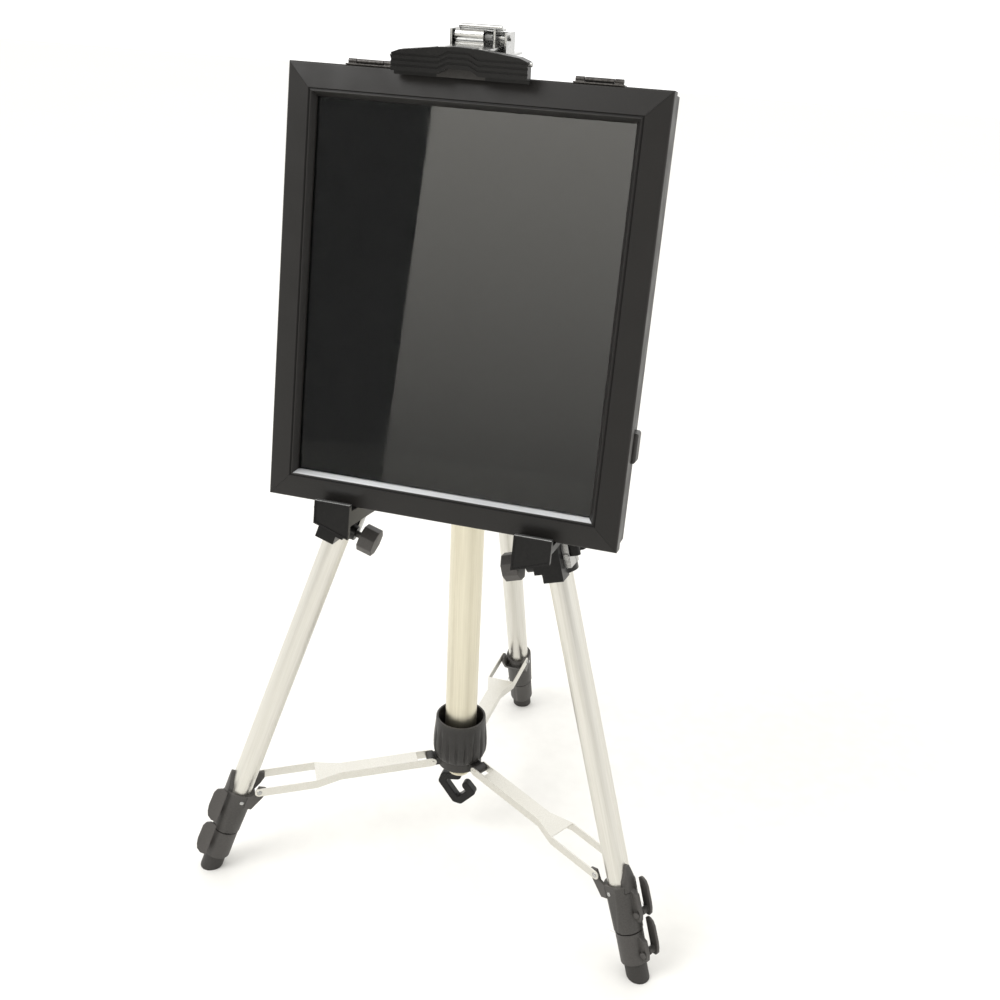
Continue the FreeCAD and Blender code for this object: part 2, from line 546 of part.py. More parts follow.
def clip_lever():
    """Sheet-steel lever: barrel on the pin, arm forward to the jaw, rolled thumb lip above."""
    left, right = LEVER_EYES[0], LEVER_EYES[1] + 6.0
    barrel = rod_x(5.0, left, 7.0, CLIP_PIN_Y, CLIP_PIN_Z)
    arm = block(left, right, JAW_BACK + 0.7, CLIP_PIN_Y, CLIP_PIN_Z - 6.6, CLIP_PIN_Z - 5.0)
    cheek = block(14.5, 16.1, CLIP_PIN_Y - 7.0, CLIP_PIN_Y + 5.0, CLIP_PIN_Z - 6.6, CLIP_PIN_Z + 5.5)
    lip = block(left + 3.5, right, CLIP_PIN_Y - 5.0, CLIP_PIN_Y + 4.0, CLIP_PIN_Z + 4.4, CLIP_PIN_Z + 5.9)
    curl = rod_x(1.6, left + 3.5, right, CLIP_PIN_Y - 5.0, CLIP_PIN_Z + 6.6)
    web = block(left + 3.5, 7.0, CLIP_PIN_Y - 4.0, CLIP_PIN_Y + 4.0, CLIP_PIN_Z + 2.0, CLIP_PIN_Z + 5.0)
    link = block(left, 7.0, CLIP_PIN_Y - 3.5, CLIP_PIN_Y + 1.0, CLIP_PIN_Z - 6.6, CLIP_PIN_Z - 3.0)
    eyes = [block(x, x + 6.0, JAW_ROD_Y - 2.6, JAW_BACK + 2.0, JAW_ROD_Z - 2.6, CLIP_PIN_Z - 5.0) for x in LEVER_EYES]
    shape = fused([barrel, arm, cheek, lip, curl, web, link] + eyes)
    shape = shape.cut(rod_x(1.9 + PIN_FIT, CLIP_LEFT, CLIP_RIGHT, CLIP_PIN_Y, CLIP_PIN_Z))
    return shape.cut(rod_x(1.5, CLIP_LEFT, CLIP_RIGHT, JAW_ROD_Y, JAW_ROD_Z))


def clip_rod():
    return rod_x(1.5, JAW_X - JAW_HALF - 2.0, JAW_X + JAW_HALF + 2.0, JAW_ROD_Y, JAW_ROD_Z)


def clip_jaw():
    """Ribbed jaw bar: arched top, notch in the middle of its lower edge, ribs that follow the arch."""
    top = [(-JAW_HALF, 699.6), (-JAW_HALF + 6, 701.8), (-14.0, 705.0), (0.0, 705.8), (14.0, 705.0),
           (JAW_HALF - 6, 701.8), (JAW_HALF, 699.6)]
    bottom = [(JAW_HALF, 688.4), (14.0, 688.4), (8.0, 691.9), (-8.0, 691.9), (-14.0, 688.4), (-JAW_HALF, 688.4)]
    shape = prism([V(x, JAW_FRONT, z) for x, z in top + bottom], V(0, JAW_BACK - JAW_FRONT, 0))
    pads = [block(x, x + 30.0, JAW_BACK - 2.8, JAW_BACK - 0.4, 685.6, 690.0) for x in (-JAW_HALF, JAW_HALF - 30.0)]
    shape = fused([shape] + pads)
    for level in (691.9, 695.3, 698.7):
        points = [(-JAW_HALF - 1, level), (-14.0, level), (-7.0, level + 3.4), (7.0, level + 3.4), (14.0, level),
                  (JAW_HALF + 1, level)]
        grooves = [bar(a, b, 0.7, JAW_FRONT - 1.5, JAW_FRONT + 0.9) for a, b in zip(points, points[1:])]
        shape = shape.cut(fused(grooves))
    shape.translate(V(JAW_X, 0, 0))
    shape = shape.cut(rod_x(1.5 + PIN_FIT, JAW_X - JAW_HALF - 3, JAW_X + JAW_HALF + 3, JAW_ROD_Y, JAW_ROD_Z))
    for x in LEVER_EYES:
        slot = block(x - 0.5, x + 6.5, JAW_ROD_Y - 3.3, JAW_BACK + 1.0, JAW_ROD_Z - 4.0, 712.0)
        shape = shape.cut(slot)
    return shape


def leg_nodes(name, azimuth):
    """Every node of one leg, placed."""
    return {
        f"leg_head_{name}": on_leg(leg_head(), azimuth),
        f"upper_tube_{name}": on_leg(leg_tube(UPPER_R, 15.0, UPPER_COLLAR_END - 4.0), azimuth),
        f"upper_collar_{name}": on_leg(upper_collar(), azimuth),
        f"upper_lever_{name}": on_leg(flip_lever(UPPER_LEVER_PIN), azimuth),
        f"middle_tube_{name}": on_leg(leg_tube(MIDDLE_R, 45.0, LOWER_COLLAR_END - 4.0), azimuth),
        f"lower_collar_{name}": on_leg(lower_collar(), azimuth),
        f"lower_lever_{name}": on_leg(flip_lever(LOWER_LEVER_PIN), azimuth),
        f"lower_tube_{name}": on_leg(leg_tube(LOWER_R, 55.0, LOWER_COLLAR_END + 12.0), azimuth),
        f"foot_{name}": foot(azimuth),
    }


def clamp_nodes(name):
    """Every node of one shelf clamp, placed."""
    shapes = {"body": clamp_body(LIP_X[name]), "strap": clamp_strap(), "knob": clamp_knob()}
    place = mirrored if name == "left" else (lambda shape: shape)
    return {f"clamp_{part}_{name}": place(shape) for part, shape in shapes.items()}


def case_nodes():
    """Every node of the display case, placed."""
    shapes = {
        "case_frame": case_frame(), "case_glass": case_glass(), "case_board": case_board(), "case_trim": case_trim(),
        "case_back_shell": case_back_shell(), "latch_bases": latch_bases(), "side_hinges": side_hinges(),
        "latch_lever_left": latch_lever(LATCH_CENTRES[0]), "latch_lever_right": latch_lever(LATCH_CENTRES[1]),
    }
    return {node: on_case(shape) for node, shape in shapes.items()}


def all_nodes():
    """Every node by name, laid out about the mast axis."""
    nodes = {
        "crown": crown(), "crown_lock_knob": crown_lock_knob(), "leg_hinge_pins": leg_hinge_pins(),
        "centre_tube": centre_tube(), "end_plug": end_plug(), "utility_hook": utility_hook(), "mast": mast(),
        "spreader_hub": spreader_hub(), "hub_collar": hub_collar(),
        "clip_bracket": clip_bracket(), "clip_pin": clip_pin(), "clip_spring": clip_spring(),
        "clip_lever": clip_lever(), "clip_rod": clip_rod(), "clip_jaw": clip_jaw(),
    }
    for name, azimuth in LEG_AZIMUTHS.items():
        nodes[f"brace_{name}"] = brace(azimuth)
        nodes.update(leg_nodes(name, azimuth))
    for name in LIP_X:
        nodes.update(clamp_nodes(name))
    nodes.update(case_nodes())
    return nodes


def main():
    os.makedirs("parts", exist_ok=True)
    for node, shape in all_nodes().items():
        shape.translate(V(0, MAST_Y, 0))
        shape.exportStep(f"parts/{node}.step")


main()
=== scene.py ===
"""Looks for the folding tripod easel and its display case.

The new pieces are laid out in millimetres, in the measures of the leg, mast or case they belong
to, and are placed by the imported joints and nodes, so they lie where the frame says.
"""
import json
import math
import bmesh
import bpy
from mathutils import Matrix, Vector


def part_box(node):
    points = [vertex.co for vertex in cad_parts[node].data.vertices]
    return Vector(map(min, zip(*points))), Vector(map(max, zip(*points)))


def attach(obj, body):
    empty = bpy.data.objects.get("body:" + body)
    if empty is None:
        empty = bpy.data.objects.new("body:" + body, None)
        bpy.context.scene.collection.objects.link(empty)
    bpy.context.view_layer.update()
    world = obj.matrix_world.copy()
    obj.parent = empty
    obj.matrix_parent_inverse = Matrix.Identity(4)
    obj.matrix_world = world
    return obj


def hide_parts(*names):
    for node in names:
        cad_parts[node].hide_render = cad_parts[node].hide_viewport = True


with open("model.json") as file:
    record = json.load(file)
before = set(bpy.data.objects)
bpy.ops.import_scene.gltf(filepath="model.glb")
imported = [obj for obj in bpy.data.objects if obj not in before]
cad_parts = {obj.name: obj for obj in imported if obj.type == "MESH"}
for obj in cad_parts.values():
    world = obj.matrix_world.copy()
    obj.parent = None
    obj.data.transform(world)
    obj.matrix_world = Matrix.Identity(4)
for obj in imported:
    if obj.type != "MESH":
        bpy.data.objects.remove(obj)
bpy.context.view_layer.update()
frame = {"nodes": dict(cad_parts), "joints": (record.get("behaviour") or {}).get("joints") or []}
nodes = frame["nodes"]
joints = {joint["name"]: joint for joint in frame["joints"]}

MM = 0.001
UP = (0.0, 0.0, 1.0)
LEGS = ("left", "right", "rear")
SIDES = {"left": -1.0, "right": 1.0}

# Case, in its own plane: X across, Y back from the front, Z up the front
CASE_TILT = math.radians(10.4)
CASE_W, CASE_H = 268.0, 310.0
MITRE_GAP = 0.08
LATCH_X, LATCH_Y, LATCH_UP = 84.0, 7.0, 312.8

# Leg, in leg measures: X outward, Y across, Z up the leg from the hinge pin
FORK_HALF = 13.6
COLLAR_SIDE = 12.2
BRACE_PIVOT_X, BRACE_PIVOT_Z = -14.0, -466.0
COLLAR_SCREW_X, COLLAR_SCREW_Z = -2.7, -481.0

# Clamp lips, in the case's plane, with X from the mast
CASE_X = 10.0
LIP_X = {"left": 67.0, "right": 86.0}
LIP_HALF, LIP_RISE, LIP_DROP, LIP_SLOPE = 14.0, 4.6, 13.0, 0.3134
LIP_FRONT, LIP_BACK = -9.5, -5.5

# Spreader and clip, about the mast axis
CUP_BOTTOM, CUP_RIM = 95.4, 136.0
CUP_WELL = 20.1
FLUTES, FLUTE_DEPTH, FLUTE_LOW, FLUTE_HIGH = 18, 1.5, 96.5, 128.0
CLIP_PIN_Y, CLIP_PIN_Z = -22.0, 709.5
JAW_PAD_FRONT, JAW_PAD_BACK = -60.9, -58.8

# Camera and studio cards, in millimetres about the mast axis, and in degrees
CAMERA_AT = (264.2, -849.0, 776.8)
CAMERA_YAW, CAMERA_PITCH, CAMERA_ROLL = 15.63, 25.55, 2.76
SENSOR_WIDTH, LENS = 36.0, 43.1
CARD_Y, CARD_TOP = -2000, 1500
FLAG_LEFT, CARD_SPLIT, CARD_RIGHT = -1500, -722, 60

# Floor and key light, in metres
FLOOR_HALF = 6.0
KEY_AT, KEY_TARGET = Vector((-1.1, -1.3, 2.1)), Vector((0, 0, 0.35))
KEY_SIZE, KEY_WATTS = 1.4, 28.0


# Places

def oriented(origin, x_axis, y_axis, z_axis):
    turn = Matrix((x_axis, y_axis, z_axis)).transposed().to_4x4()
    turn.translation = origin
    return turn


def placing(origin, x_axis, y_axis, z_axis):
    """Millimetres along three axes from an origin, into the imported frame."""
    return oriented(origin, x_axis, y_axis, z_axis) @ Matrix.Scale(MM, 4)


def leg_place(name):
    hinge = joints[f"leg_{name}_fold"]
    up = -Vector(joints[f"leg_{name}_middle_slide"]["axis"])
    across = Vector(hinge["axis"])
    return placing(Vector(hinge["pos_m"]), across.cross(up), across, up)


def case_place():
    across = Vector((1, 0, 0))
    back = Vector((0, math.cos(CASE_TILT), -math.sin(CASE_TILT)))
    up = Vector((0, math.sin(CASE_TILT), math.cos(CASE_TILT)))
    latch = Vector(joints["latch_right_flip"]["pos_m"])
    origin = latch - MM * (LATCH_X * across + LATCH_Y * back + LATCH_UP * up)
    return placing(origin, across, back, up)


def mast_place():
    """Millimetres about the mast axis, from the floor up."""
    low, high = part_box("centre_tube")
    foot = ((low.x + high.x) / 2, (low.y + high.y) / 2, 0)
    return Matrix.Translation(foot) @ Matrix.Scale(MM, 4)


CASE = case_place()
MAST = mast_place()
LEG = {name: leg_place(name) for name in LEGS}


# Finishes

def mix_colour(tree, factor, first, second):
    """A colour mix node; first and second are colours or sockets."""
    node = tree.nodes.new("ShaderNodeMix")
    node.data_type = "RGBA"
    tree.links.new(factor, node.inputs["Factor"])
    for key, value in ((6, first), (7, second)):
        if isinstance(value, bpy.types.NodeSocket):
            tree.links.new(value, node.inputs[key])
        else:
            node.inputs[key].default_value = (*value, 1.0)
    return node.outputs[2]


def noise(tree, vector, scale, detail=4.0):
    node = tree.nodes.new("ShaderNodeTexNoise")
    node.inputs["Scale"].default_value = scale
    node.inputs["Detail"].default_value = detail
    tree.links.new(vector, node.inputs["Vector"])
    return node.outputs["Fac"]


def remap(tree, value, low, high, out_low, out_high):
    node = tree.nodes.new("ShaderNodeMapRange")
    for key, number in (("From Min", low), ("From Max", high),
                        ("To Min", out_low), ("To Max", out_high)):
        node.inputs[key].default_value = number
    tree.links.new(value, node.inputs["Value"])
    return node.outputs["Result"]


def along(tree, vector, axis, squeeze):
    """Texture space turned so that axis is Z, then drawn out along it."""
    upright = Vector(axis).rotation_difference(Vector(UP)).to_euler()
    turn = tree.nodes.new("ShaderNodeMapping")
    turn.inputs["Rotation"].default_value = upright
    stretch = tree.nodes.new("ShaderNodeMapping")
    stretch.inputs["Scale"].default_value = (1.0, 1.0, squeeze)
    tree.links.new(vector, turn.inputs["Vector"])
    tree.links.new(turn.outputs["Vector"], stretch.inputs["Vector"])
    return stretch.outputs["Vector"]


def finish(name, dark, light, rough, metallic=0.0, grain=900.0, bump=0.1, axis=None, wear=None,
           fixed=()):
    """A surface with fine grain, broad colour variation and uneven gloss.

    Axis draws the grain out into a brushed finish, wear is the colour of its worn edges, and
    fixed holds values for the shader's own sockets.
    """
    material = bpy.data.materials.new(name)
    material.use_nodes = True
    tree = material.node_tree
    shader = tree.nodes["Principled BSDF"]
    space = tree.nodes.new("ShaderNodeTexCoord").outputs["Object"]
    if axis is not None:
        space = along(tree, space, axis, 0.02)
    fine = noise(tree, space, grain)
    broad = noise(tree, space, grain / 30.0, 2.0)
    colour = mix_colour(tree, remap(tree, fine, 0.3, 0.7, 0.0, 1.0), dark, light)
    middle = [(a + b) / 2 for a, b in zip(dark, light)]
    colour = mix_colour(tree, remap(tree, broad, 0.35, 0.75, 0.0, 0.6), colour, middle)
    if wear is not None:
        edge = tree.nodes.new("ShaderNodeNewGeometry").outputs["Pointiness"]
        colour = mix_colour(tree, remap(tree, edge, 0.52, 0.62, 0.0, 0.7), colour, wear)
    tree.links.new(colour, shader.inputs["Base Color"])
    gloss = remap(tree, broad, 0.3, 0.7, rough - 0.06, rough + 0.06)
    tree.links.new(gloss, shader.inputs["Roughness"])
    shader.inputs["Metallic"].default_value = metallic
    for key, value in fixed:
        shader.inputs[key].default_value = value
    relief = tree.nodes.new("ShaderNodeBump")
    relief.inputs["Strength"].default_value = bump
    relief.inputs["Distance"].default_value = 0.0002
    tree.links.new(fine, relief.inputs["Height"])
    tree.links.new(relief.outputs["Normal"], shader.inputs["Normal"])
    return material


def clear_glass():
    material = bpy.data.materials.new("case_glass")
    material.use_nodes = True
    tree = material.node_tree
    shader = tree.nodes["Principled BSDF"]
    shader.inputs["Base Color"].default_value = (0.93, 0.95, 0.94, 1.0)
    shader.inputs["Transmission Weight"].default_value = 1.0
    shader.inputs["IOR"].default_value = 1.52
    space = tree.nodes.new("ShaderNodeTexCoord").outputs["Object"]
    smear = noise(tree, space, 14.0, 3.0)
    tree.links.new(remap(tree, smear, 0.4, 0.8, 0.015, 0.06), shader.inputs["Roughness"])
    return material


CENTRE_ALUMINIUM = ((0.62, 0.58, 0.46), (0.74, 0.70, 0.57))
LEG_ALUMINIUM = ((0.62, 0.605, 0.55), (0.72, 0.705, 0.66))
NO_SHEEN = (("Specular IOR Level", 0.0),)
SOFT_SHEEN = (("Specular IOR Level", 0.25),)
SHEEN = (("Specular IOR Level", 0.4),)
BLACK = finish("black_plastic", (0.014, 0.013, 0.012), (0.026, 0.024, 0.022), 0.46,
               wear=(0.07, 0.065, 0.06), fixed=SHEEN)
BLACK_SMOOTH = finish("black_smooth", (0.005, 0.005, 0.005), (0.010, 0.0095, 0.009), 0.32,
                      grain=500.0, bump=0.04, fixed=SOFT_SHEEN)
RUBBER = finish("rubber", (0.022, 0.020, 0.018), (0.040, 0.037, 0.034), 0.62,
                grain=1200.0, bump=0.25, fixed=SHEEN)
COLLAR = finish("collar_plastic", (0.030, 0.028, 0.025), (0.055, 0.051, 0.047), 0.48,
                wear=(0.11, 0.10, 0.095), fixed=(("Specular IOR Level", 0.45),))
PAINT = finish("frame_paint", (0.0035, 0.003, 0.0027), (0.008, 0.0074, 0.0068), 0.42,
               grain=1500.0, bump=0.12, wear=(0.030, 0.028, 0.026), fixed=SOFT_SHEEN)
LINING = finish("lining", (0.002, 0.002, 0.002), (0.004, 0.004, 0.004), 0.85,
                grain=2500.0, bump=0.5, fixed=NO_SHEEN)
GUNMETAL = finish("dark_latch_metal", (0.03, 0.028, 0.026), (0.10, 0.095, 0.09), 0.36,
                  metallic=0.8, grain=500.0, bump=0.05)
STEEL = finish("plated_steel", (0.34, 0.34, 0.335), (0.50, 0.50, 0.49), 0.22,
               metallic=1.0, grain=400.0, bump=0.03, axis=(1, 0, 0))
# Silver metal for the case's real trim, and for the strips that paint highlights on the frame's
# bottom bevel and the clamp lips
TRIM_AND_HIGHLIGHT_SILVER = finish("silver_trim_and_painted_highlight", (0.58, 0.59, 0.60), (0.72, 0.73, 0.74), 0.34,
               metallic=1.0, grain=600.0, bump=0.04, axis=(1, 0, 0))
TUBE = finish("satin_aluminium", *CENTRE_ALUMINIUM, 0.36, metallic=1.0, bump=0.05, axis=UP)
BRACE = finish("brace_aluminium", *LEG_ALUMINIUM, 0.40, metallic=1.0, bump=0.03)
GLASS = clear_glass()


def leg_aluminium(name):
    axis = joints[f"leg_{name}_middle_slide"]["axis"]
    return finish(f"satin_aluminium_{name}", *LEG_ALUMINIUM, 0.36, metallic=1.0, bump=0.05,
                  axis=axis)


LEG_TUBE = {name: leg_aluminium(name) for name in LEGS}


# Mesh helpers

def link(obj):
    bpy.context.scene.collection.objects.link(obj)
    return obj


def sharp_edges(bm, degrees):
    limit = math.radians(degrees)
    return [edge for edge in bm.edges
            if len(edge.link_faces) == 2 and edge.calc_face_angle(0.0) > limit]


def round_edges(bm, width, degrees=32.0):
    bmesh.ops.bevel(bm, geom=sharp_edges(bm, degrees), offset=width, offset_type="OFFSET",
                    segments=2, profile=0.5, affect="EDGES", clamp_overlap=False)


def piece(name, bm, place, body, material, stands_for=()):
    """A finished Blender piece from a bmesh in the place's own measures."""
    bm.transform(place)
    bmesh.ops.recalc_face_normals(bm, faces=bm.faces)
    if bm.calc_volume(signed=True) < 0:
        bmesh.ops.reverse_faces(bm, faces=bm.faces)
    mesh = bpy.data.meshes.new(name)
    bm.to_mesh(mesh)
    bm.free()
    mesh.shade_smooth()
    mesh.set_sharp_from_angle(angle=math.radians(38.0))
    mesh.materials.append(material)
    obj = link(bpy.data.objects.new(name, mesh))
    if stands_for:
        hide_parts(*stands_for)
    even = obj.modifiers.new("even_flats", "WEIGHTED_NORMAL")
    even.keep_sharp = True
    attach(obj, body)


def loops_to_bmesh(loops, ring=False):
    """Skins a row of equal loops, with capped ends or, for a ring, the last joined to the first."""
    bm = bmesh.new()
    rows = [[bm.verts.new(point) for point in loop] for loop in loops]
    pairs = list(zip(rows, rows[1:]))
    if ring:
        pairs.append((rows[-1], rows[0]))
    for first, second in pairs:
        count = len(first)
        for i in range(count):
            j = (i + 1) % count
            bm.faces.new((first[i], first[j], second[j], second[i]))
    if not ring:
        bm.faces.new(rows[0])
        bm.faces.new(rows[-1])
    return bm


def prism(outline, low, high):
    """An (x, z) outline drawn out along Y."""
    return loops_to_bmesh([[(x, low, z) for x, z in outline], [(x, high, z) for x, z in outline]])


def lathe(profile, count=72, radius_of=None):
    """A closed (radius, z) outline turned about Z; radius_of may change the radius as it goes."""
    loops = []
    for i in range(count):
        angle = math.tau * i / count
        loop = []
        for r, z in profile:
            radius = radius_of(r, z, angle) if radius_of else r
            loop.append((radius * math.cos(angle), radius * math.sin(angle), z))
        loops.append(loop)
    return loops_to_bmesh(loops, ring=True)


def sweep(path, section, side):
    """A closed (u, v) section carried along a path; u lies along side and v square to it."""
    points = [Vector(p) for p in path]
    loops = []
    for i, point in enumerate(points):
        ahead = points[min(i + 1, len(points) - 1)] - points[max(i - 1, 0)]
        u = Vector(side).normalized()
        v = ahead.normalized().cross(u).normalized()
        loops.append([point + u * a + v * b for a, b in section])
    return loops_to_bmesh(loops)


def add(bm, other):
    """Adds another bmesh's shells to bm."""
    mesh = bpy.data.meshes.new("part")
    other.to_mesh(mesh)
    other.free()
    bm.from_mesh(mesh)
    bpy.data.meshes.remove(mesh)


def circle(radius, count):
    angles = (math.tau * i / count for i in range(count))
    return [(radius * math.cos(angle), radius * math.sin(angle)) for angle in angles]


def turned_to(axis):
    """Turns shapes made about Z so that they lie about an axis."""
    return Vector(UP).rotation_difference(Vector(axis)).to_matrix().to_4x4()


def at(x, y, z, axis):
    return Matrix.Translation((x, y, z)) @ turned_to(axis)


def keep(node, material):
    """A CAD node whose shape is right, with a better material."""
    mesh = nodes[node].data
    mesh.materials.clear()
    mesh.materials.append(material)


def soften(node, width, material, body):
    """A copy of a CAD node with its sharp edges rounded, which stands for the node."""
    bm = bmesh.new()
    bm.from_mesh(nodes[node].data)
    bmesh.ops.remove_doubles(bm, verts=bm.verts, dist=2e-6)
    bmesh.ops.dissolve_limit(bm, angle_limit=math.radians(0.6), verts=bm.verts, edges=bm.edges)
    round_edges(bm, width * MM)
    piece(f"{node}_finished", bm, Matrix.Identity(4), body, material, (node,))


# Display case

def rail(length, reach, profile):
    """One side of a mitred frame.

    Profile is (inward, back), and reach is its outer edge from the centre.
    """
    ends = []
    for sign in (-1.0, 1.0):
        ends.append([(sign * (length / 2 - inward - MITRE_GAP), back, -reach + inward)
                     for inward, back in profile])
    return loops_to_bmesh(ends)


def mitred_frame(profile, sides, bevel):
    bm = bmesh.new()
    for quarter in sides:
        length, reach = (CASE_W, CASE_H / 2) if quarter % 2 == 0 else (CASE_H, CASE_W / 2)
        side = rail(length, reach, profile)
        round_edges(side, bevel, 50.0)
        turn = Matrix.Rotation(math.pi / 2 * quarter, 4, "Y")
        side.transform(Matrix.Translation((0, 0, CASE_H / 2)) @ turn)
        add(bm, side)
    return bm


def build_case():
    moulding = [(0.0, 15.0), (0.0, 4.6), (0.2, 3.9), (0.7, 3.3), (1.4, 3.0), (16.2, 0.2),
                (16.8, 0.1), (17.1, 0.5), (17.5, 0.9), (18.0, 0.8), (18.4, 0.4), (18.9, 0.3),
                (19.5, 0.7), (21.6, 4.0), (22.0, 4.8), (22.0, 5.9), (15.3, 5.9), (15.3, 15.0)]
    piece("case_moulding", mitred_frame(moulding, range(4), 0.12), CASE, "stand", PAINT,
          ("case_frame",))
    # Painted highlight: a silver strip laid on the bottom rail's inner bevel only, where the
    # upward-facing bevel catches the light from above
    strip = [(19.1, 0.75), (19.5, 0.7), (22.1, 4.0), (22.3, 4.6), (22.3, 5.8), (22.0, 5.8),
             (22.0, 4.7), (19.3, 1.1)]
    piece("case_painted_highlight_strip", mitred_frame(strip, [0], 0.05), CASE, "stand", TRIM_AND_HIGHLIGHT_SILVER)
    keep("case_glass", GLASS)
    keep("case_board", LINING)
    keep("case_trim", TRIM_AND_HIGHLIGHT_SILVER)
    soften("case_back_shell", 0.4, PAINT, "stand")
    soften("side_hinges", 0.5, BLACK, "stand")
    soften("latch_bases", 0.25, GUNMETAL, "stand")
    for name in SIDES:
        soften(f"latch_lever_{name}", 0.3, GUNMETAL, f"latch_{name}")


# Tripod

def build_legs():
    for name in LEGS:
        keep(f"upper_tube_{name}", LEG_TUBE[name])
        keep(f"middle_tube_{name}", LEG_TUBE[name])
        keep(f"lower_tube_{name}", LEG_TUBE[name])
        soften(f"leg_head_{name}", 0.5, BLACK, f"leg_{name}")
        soften(f"upper_collar_{name}", 0.45, COLLAR, f"leg_{name}")
        soften(f"lower_collar_{name}", 0.45, COLLAR, f"middle_{name}")
        soften(f"upper_lever_{name}", 0.6, COLLAR, f"upper_lever_{name}")
        soften(f"lower_lever_{name}", 0.6, COLLAR, f"lower_lever_{name}")
        soften(f"foot_{name}", 0.6, RUBBER, f"lower_{name}")
        soften(f"brace_{name}", 0.25, BRACE, f"brace_{name}")
        build_rivets(name)


def rivet(radius, height):
    """A domed head about Z, standing on Z = 0."""
    arc = [(radius * math.cos(math.radians(t)), height * math.sin(math.radians(t)))
           for t in range(0, 90, 15)]
    return lathe([(0.02, -0.4), (radius, -0.4), *arc, (0.02, height)], 28)


def build_rivets(name):
    """Heads of the brace's pivot on both fork arms, and of the collar's side screws."""
    for side, tag in ((1.0, "near"), (-1.0, "far")):
        axis = (0, side, 0)
        head = rivet(2.3, 0.9)
        head.transform(at(BRACE_PIVOT_X, side * FORK_HALF, BRACE_PIVOT_Z, axis))
        piece(f"brace_rivet_{name}_{tag}", head, LEG[name], f"brace_{name}", STEEL)
        screw = rivet(1.9, 0.7)
        screw.transform(at(COLLAR_SCREW_X, side * COLLAR_SIDE, COLLAR_SCREW_Z, axis))
        piece(f"collar_screw_{name}_{tag}", screw, LEG[name], f"leg_{name}", STEEL)


def build_centre():
    keep("centre_tube", TUBE)
    keep("mast", TUBE)
    soften("crown", 0.6, BLACK, "stand")
    soften("crown_lock_knob", 0.6, BLACK, "crown_lock_knob")
    soften("leg_hinge_pins", 0.3, STEEL, "stand")
    soften("end_plug", 0.4, TUBE, "stand")
    soften("spreader_hub", 0.5, BLACK, "hub")
    build_cup()
    soften("utility_hook", 1.1, BLACK_SMOOTH, "hook")


def build_cup():
    """The spreader's twist collar: plain rim, long flutes below, a shallow well inside the rim."""
    outer = [(20.2, CUP_BOTTOM), (21.6, 96.0), (22.7, 97.6), (23.8, 101.0), (24.3, 106.0),
             (24.2, 112.0), (23.7, 119.0), (23.0, 126.0), (22.5, 131.0), (22.2, CUP_RIM - 0.5),
             (21.8, CUP_RIM)]
    inner = [(20.4, CUP_RIM), (20.0, CUP_RIM - 0.5), (19.8, 130.0), (19.8, 114.6), (19.2, 114.0),
             (17.8, 114.0), (17.7, 113.0), (17.7, CUP_BOTTOM)]

    def fluted(radius, z, angle):
        if radius < CUP_WELL or not FLUTE_LOW < z < FLUTE_HIGH:
            return radius
        fade = min(1.0, (z - FLUTE_LOW + 0.5) / 5.0, (FLUTE_HIGH - z) / 12.0)
        groove = max(0.0, math.cos(FLUTES * angle)) ** 1.5
        return radius - FLUTE_DEPTH * fade * groove

    piece("hub_collar_fluted", lathe(outer + inner, 216, fluted), MAST, "hub_collar", BLACK,
          ("hub_collar",))


# Clamps

def build_clamps():
    for name in SIDES:
        soften(f"clamp_body_{name}", 0.45, BLACK_SMOOTH, f"clamp_{name}")
        soften(f"clamp_strap_{name}", 0.2, STEEL, f"clamp_{name}")
        soften(f"clamp_knob_{name}", 0.7, COLLAR, f"clamp_knob_{name}")
        build_lip(name)


def build_lip(name):
    """A silver strip along the lip's top edge, a painted highlight, and the raised border round its
    face.
    """
    side = SIDES[name]
    inner, outer = LIP_X[name] - LIP_HALF, LIP_X[name] + LIP_HALF

    def across(x):
        return side * x - CASE_X

    # Painted highlight: this silver strip on the lip's top face stands for the light the glossy top
    # catches from above
    left, right = across(inner + 0.3), across(outer - 0.3)
    low, high = LIP_RISE - 0.1, LIP_RISE + 0.35
    edge = prism([(left, low), (right, low), (right, high), (left, high)],
                 LIP_FRONT + 0.2, LIP_BACK - 0.2)
    round_edges(edge, 0.12)
    piece(f"lip_painted_highlight_{name}", edge, CASE, f"clamp_{name}", TRIM_AND_HIGHLIGHT_SILVER)
    border = bmesh.new()
    width = 1.2
    corners = [(inner, LIP_RISE - 0.2), (outer, LIP_RISE - 0.2), (outer, -LIP_DROP),
               (inner, -LIP_DROP - 2 * LIP_HALF * LIP_SLOPE)]
    middle = (sum(x for x, _ in corners) / 4, sum(z for _, z in corners) / 4)
    inset = [(x + width * math.copysign(1, middle[0] - x),
              z + width * math.copysign(1.2, middle[1] - z)) for x, z in corners]
    for i in range(4):
        j = (i + 1) % 4
        strip = [corners[i], corners[j], inset[j], inset[i]]
        add(border, prism([(across(x), z) for x, z in strip], LIP_FRONT - 0.5, LIP_FRONT + 0.2))
    piece(f"lip_border_{name}", border, CASE, f"clamp_{name}", BLACK_SMOOTH)


# Top clip

def build_spring():
    """The clip's torsion spring, wound round its pin."""
    turns, start, end, radius, wire = 6, 7.9, 13.1, 3.5, 0.42
    steps = turns * 24
    path = []
    for i in range(steps + 1):
        angle = math.tau * turns * i / steps
        path.append((start + (end - start) * i / steps,
                     CLIP_PIN_Y + radius * math.cos(angle),
                     CLIP_PIN_Z + radius * math.sin(angle)))
    coil = sweep(path, circle(wire, 8), (1, 0, 0))
    piece("clip_spring_coil", coil, MAST, "mast", STEEL, ("clip_spring",))


